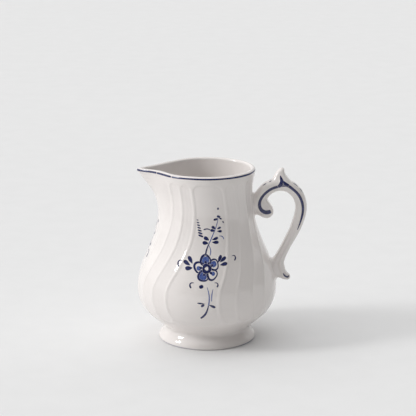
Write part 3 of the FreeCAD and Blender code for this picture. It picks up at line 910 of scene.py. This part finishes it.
class Spray:
    """A generic brushed spray about a point; u runs round the body and v up, in millimetres."""

    def __init__(self, theta, z, mirror=1):
        self.theta = theta
        self.z = z
        self.mirror = mirror
        self.dark = Paint()
        self.wash = Paint()

    def lay(self, u, v):
        """Points on the glaze and their normals."""
        z = self.z + v
        theta = self.theta + np.degrees(self.mirror * u / profile_radius(z))
        return outer_point(theta, z), outer_normal(theta, z)

    def stroke(self, path, wash=False, lift=None, closed=False):
        """A brush stroke along points given as u, v and width."""
        line = np.array(path, float)
        if closed:
            direction = np.roll(line[:, :2], -1, 0) - np.roll(line[:, :2], 1, 0)
        else:
            line = spline(line, 7 * len(line))
            direction = np.gradient(line[:, :2], axis=0)
        direction /= np.maximum(np.linalg.norm(direction, axis=-1, keepdims=True), 1e-9)
        half = np.maximum(line[:, 2:], 0.05) / 2
        u = line[:, :1] - direction[:, 1:] * ACROSS * half
        v = line[:, 1:2] + direction[:, :1] * ACROSS * half
        points, normals = self.lay(u, v)
        if self.mirror > 0:
            points, normals = points[:, ::-1], normals[:, ::-1]
        shares = np.tile(BRUSH, (len(line), 1))
        if not closed:
            place = np.arange(len(line))
            shares *= np.clip(np.minimum(place, place[::-1]) / 2, 0, 1)[:, None]
        lift = lift or (WASH_LIFT if wash else DARK_LIFT)
        layer = self.wash if wash else self.dark
        layer.patch(points, normals, shares, lift, closed)

    def straight(self, u, v, angle, length, width, shape, wash):
        """Straight stroke; shape gives shares of its length and of its width."""
        cosine, sine = math.cos(math.radians(angle)), math.sin(math.radians(angle))
        self.stroke([(u + cosine * length * place, v + sine * length * place, width * share)
                     for place, share in shape], wash)

    def leaf(self, u, v, angle, length, width, wash=False):
        """Teardrop that starts thin at (u, v) and runs out at an angle in degrees."""
        shape = [(0.0, 0.12), (0.2, 0.5), (0.45, 0.9), (0.7, 1.0), (0.9, 0.72), (1.0, 0.3)]
        self.straight(u, v, angle, length, width, shape, wash)

    def dash(self, u, v, angle, length, width):
        """Short stroke, thick in the middle, centred at (u, v)."""
        shape = [(-0.5, 0.35), (-0.3, 0.9), (0.0, 1.0), (0.3, 0.9), (0.5, 0.35)]
        self.straight(u, v, angle, length, width, shape, False)

    def flower(self, radius):
        """Five round petals about a dark ring with a white eye."""
        for petal in range(PETALS):
            turn = 90 + 360 / PETALS * petal + PETAL_TURN
            cosine, sine = math.cos(math.radians(turn)), math.sin(math.radians(turn))
            size = radius * PETAL_SIZE

            def place(out, side):
                """Point given from the petal's centre, outwards and to the left."""
                return (cosine * radius * PETAL_CENTRE + cosine * out - sine * side,
                        sine * radius * PETAL_CENTRE + sine * out + cosine * side)

            loop = []
            for step in range(PETAL_POINTS):
                around = math.radians(360 / PETAL_POINTS * step)
                lobe = size * (1 + 0.07 * math.cos(3 * around + petal))
                width = 1.05 + 0.32 * math.cos(around - 0.7 + petal)
                point = place(lobe * math.cos(around), lobe * 1.03 * math.sin(around))
                loop.append((*point, width))
            self.stroke(loop, closed=True)
            # Wash in the petal, laid a little to one side where it doesn't fill it.
            fill = PETAL_FILLS[petal]
            drift = (1 - fill) * size * 0.5
            self.stroke([(*place(size * along_petal * fill, drift), size * width * fill)
                         for along_petal, width in PETAL_WASH], wash=True)
            self.leaf(cosine * radius * 0.22, sine * radius * 0.22, turn + 4,
                      radius * 0.36, radius * 0.20)
        ring = []
        for step in range(EYE_POINTS):
            around = math.radians(360 / EYE_POINTS * step)
            ring.append((radius * EYE_SIZE * math.cos(around), radius * EYE_SIZE * math.sin(around),
                         radius * (0.25 + 0.05 * math.cos(3 * around))))
        self.stroke(ring, closed=True, lift=EYE_RING_LIFT)

    def leaf_fan(self, u, v, angles, length, width):
        """Leaves that start at one point."""
        for angle in angles:
            self.leaf(u, v, angle, length, width)

    def hook(self, u, v, facing, size):
        """Small curl, thicker at its lower end, that opens to the side it faces."""
        points = [(0.0, -1.0, 0.6), (-0.5, -0.3, 0.72), (-0.4, 0.5, 0.52), (0.25, 0.95, 0.38),
                  (1.1, 0.9, 0.2)]
        self.stroke([(u + facing * size * a, v + size * b, size * w) for a, b, w in points])

    def finish(self, name):
        """Make the two meshes of the spray."""
        self.dark.finish(name + "_dark", NAVY, "cobalt_paint")
        self.wash.finish(name + "_wash", WASH, "pale_blue_paint")


def full_spray(name, theta, z, mirror):
    """A flower with leaves, an upper stem, a fern, curls and lower stems."""
    spray = Spray(theta, z, mirror)
    spray.flower(7.1)
    # Side leaves, three to the left and three to the right.
    for u, v, angle in ((-8.0, 2.4, 122), (-9.3, 1.4, 150), (-7.9, 0.2, 188)):
        spray.leaf(u, v, angle, 4.3, 2.4)
    for u, v, angle in ((6.4, 3.0, 66), (7.5, 3.2, 38), (7.5, 1.7, 10)):
        spray.leaf(u, v, angle, 4.1, 2.1)
    # Upper stem with two groups of four leaves, and buds at its tip.
    spray.stroke([(-0.8, 6.2, 1.0), (-0.2, 9.5, 0.85), (1.6, 13.6, 0.7), (3.6, 18.0, 0.55),
                  (5.2, 22.0, 0.45), (6.2, 26.0, 0.35), (6.3, 29.0, 0.15)], wash=True)
    spray.stroke([(-0.7, 6.6, 0.9), (-0.1, 9.6, 0.85), (1.5, 13.3, 0.5)])
    spray.stroke([(1.8, 6.6, 0.5), (2.2, 9.2, 0.55), (1.0, 12.4, 0.3)], wash=True)
    for leaf in ((0.9, 13.1, 174, 3.3, 2.2), (1.3, 14.7, 150, 3.3, 2.2),
                 (3.0, 13.6, -2, 3.7, 1.9), (3.0, 14.9, 18, 3.5, 1.7),
                 (4.6, 19.6, 168, 2.7, 1.7), (4.8, 20.6, 142, 2.6, 1.7),
                 (5.8, 19.4, -4, 2.7, 1.5), (5.7, 20.6, 22, 2.4, 1.3)):
        spray.leaf(*leaf)
    for bud in ((4.9, 25.9, 12, 2.4, 1.35), (6.6, 27.4, -20, 2.2, 1.3), (7.7, 26.2, -28, 1.5, 0.9),
                (9.2, 24.2, 118, 1.3, 0.75), (6.3, 31.8, 90, 1.3, 1.15)):
        spray.dash(*bud)
    # A fern of dashes beside the stem, and a tendril on each side.
    for i in range(FERN_DASHES):
        share = i / (FERN_DASHES - 1)
        spray.dash(-5.2 + 1.9 * share, 25.6 - 8.6 * share, -8 - 12 * share,
                   1.1 + 1.9 * share, 0.62 + 0.5 * share)
    spray.stroke([(-1.8, 20.3, 0.7), (0.0, 20.8, 0.7), (2.0, 20.2, 0.5)])
    spray.stroke([(6.8, 16.8, 0.25), (8.9, 16.3, 0.5), (9.6, 14.8, 0.45)], wash=True)
    # Curls, a dot, and two lower stems with small leaves.
    for curl in ((-15.7, 1.9, 1, 1.6), (15.9, 4.6, -1, 1.35), (-8.6, -8.9, 1, 1.45),
                 (5.6, -8.5, -1, 1.2)):
        spray.hook(*curl)
    spray.dash(-3.0, -9.4, 20, 2.4, 2.1)
    spray.stroke([(0.2, -9.4, 0.25), (1.2, -13.0, 0.6), (1.4, -17.5, 0.8), (0.6, -21.8, 0.95),
                  (-0.9, -25.4, 1.35), (-3.4, -27.9, 1.2)], wash=True)
    spray.stroke([(1.2, -19.4, 0.45), (0.4, -22.4, 0.85), (-0.9, -25.3, 1.25), (-3.4, -27.9, 1.15)])
    spray.stroke([(3.6, -10.6, 0.25), (3.0, -13.0, 0.6), (2.8, -17.6, 0.45)], wash=True)
    spray.leaf(-0.8, -18.9, 174, 4.4, 1.0)
    spray.dash(-2.2, -19.9, 32, 2.2, 1.5)
    spray.leaf(1.4, -19.4, -26, 3.9, 1.6)
    spray.finish(name)


def small_spray(name, theta, z):
    """Leafy sprig with a bud, and a curl and a dot on each side."""
    spray = Spray(theta, z)
    spray.stroke([(0.3, 5.0, 0.5), (0.0, 0.5, 0.7), (0.5, -5.5, 0.65), (0.1, -11.5, 0.6),
                  (-1.7, -15.5, 1.1)], wash=True)
    spray.leaf_fan(0.3, 4.6, (52, 90, 128), 4.2, 2.0)
    spray.leaf_fan(0.0, -0.4, (24, 152), 4.4, 1.9)
    spray.leaf_fan(0.5, -6.4, (12, 160), 4.2, 1.8)
    spray.dash(0.2, 12.2, 90, 1.8, 1.2)
    for side in (-1, 1):
        spray.hook(side * 6.0, -10.6, -side, 2.0)
        spray.dash(side * 5.3, 8.4, 90 + side * 20, 1.7, 1.2)
    spray.finish(name)


full_spray("flower_spray_front", 269.6, 50.3, 1)
full_spray("flower_spray_back", 90.4, 50.3, -1)
small_spray("leaf_spray_spout", 180.0, 61.5)

# ------------------------------------------------------------------ floor, light, camera
scene = bpy.context.scene
scene.view_settings.view_transform = "Standard"

floor_mesh = bpy.data.meshes.new("floor")
floor_mesh.from_pydata([(-6, -4, 0), (6, -4, 0), (6, 8, 0), (-6, 8, 0)], [], [(0, 1, 2, 3)])
floor = bpy.data.objects.new("floor", floor_mesh)
scene.collection.objects.link(floor)
floor.data.materials.append(floor_material())

# Brightness of the dome, of the room on the camera's side, and what each glow adds.
DOME = 0.21
ROOM = 0.12
OVERHEAD = 1.03
WINDOW = 0.99
SWEEP = 0.60


def studio_world():
    """Soft studio: a plain dome, a dim room in front, and glows above, left and behind."""
    world = bpy.data.worlds.new("studio")
    scene.world = world
    world.use_nodes = True
    tree = world.node_tree
    coords = tree.nodes.new("ShaderNodeTexCoord")

    def facing(direction, start, end, low, high):
        """Brightness that goes from low to high as the view turns to a direction.

        start and end are cosines of the angle from that direction.
        """
        dot = tree.nodes.new("ShaderNodeVectorMath")
        dot.operation = "DOT_PRODUCT"
        tree.links.new(coords.outputs["Generated"], dot.inputs[0])
        dot.inputs[1].default_value = Vector(direction).normalized()
        level = tree.nodes.new("ShaderNodeMapRange")
        level.interpolation_type = "SMOOTHSTEP"
        limits = {"From Min": start, "From Max": end, "To Min": low, "To Max": high}
        for socket, value in limits.items():
            level.inputs[socket].default_value = value
        tree.links.new(dot.outputs["Value"], level.inputs["Value"])
        return level.outputs["Result"]

    def add(a, b):
        node = tree.nodes.new("ShaderNodeMath")
        node.operation = "ADD"
        tree.links.new(a, node.inputs[0])
        tree.links.new(b, node.inputs[1])
        return node.outputs["Value"]

    dome = facing((0.1, -1.0, 0.1), -0.15, 0.25, DOME, ROOM)
    overhead = facing((-0.12, -0.08, 1.0), 0.60, 0.95, 0.0, OVERHEAD)
    window = facing((-1.0, -0.06, 0.38), 0.60, 0.97, 0.0, WINDOW)
    # The glow behind has a sharp edge, which shows as a line in the glaze.
    sweep = facing((0.1, 1.0, 0.0), 0.43, 0.47, 0.0, SWEEP)
    back = tree.nodes["Background"]
    back.inputs["Color"].default_value = (1.0, 1.0, 1.0, 1.0)
    tree.links.new(add(add(dome, overhead), add(window, sweep)), back.inputs["Strength"])


def sun(name, direction, strength, angle):
    """Sun that shines along a direction; angle is its width in degrees."""
    data = bpy.data.lights.new(name, "SUN")
    data.energy = strength
    data.angle = math.radians(angle)
    obj = bpy.data.objects.new(name, data)
    obj.rotation_mode = "QUATERNION"
    obj.rotation_quaternion = Vector(direction).to_track_quat("-Z", "Y")
    scene.collection.objects.link(obj)


studio_world()
sun("key", (0.94, 0.20, -0.54), 0.96, 14.0)

# The camera stands a metre in front of the jug, half a millimetre right of its axis, and
# looks a little down.
CAMERA_X = AXIS_X * MM + 0.0005
CAMERA_DISTANCE = 1.0
CAMERA_Z = 0.3367
AIM_Z = 0.0760
camera_data = bpy.data.cameras.new("camera")
camera_data.sensor_width = 36.0
camera_data.lens = 157.4
camera = bpy.data.objects.new("camera", camera_data)
camera.location = (CAMERA_X, -CAMERA_DISTANCE, CAMERA_Z)
aim = Vector((CAMERA_X, 0.0, AIM_Z)) - camera.location
camera.rotation_mode = "QUATERNION"
camera.rotation_quaternion = aim.to_track_quat("-Z", "Y")
scene.collection.objects.link(camera)
scene.camera = camera
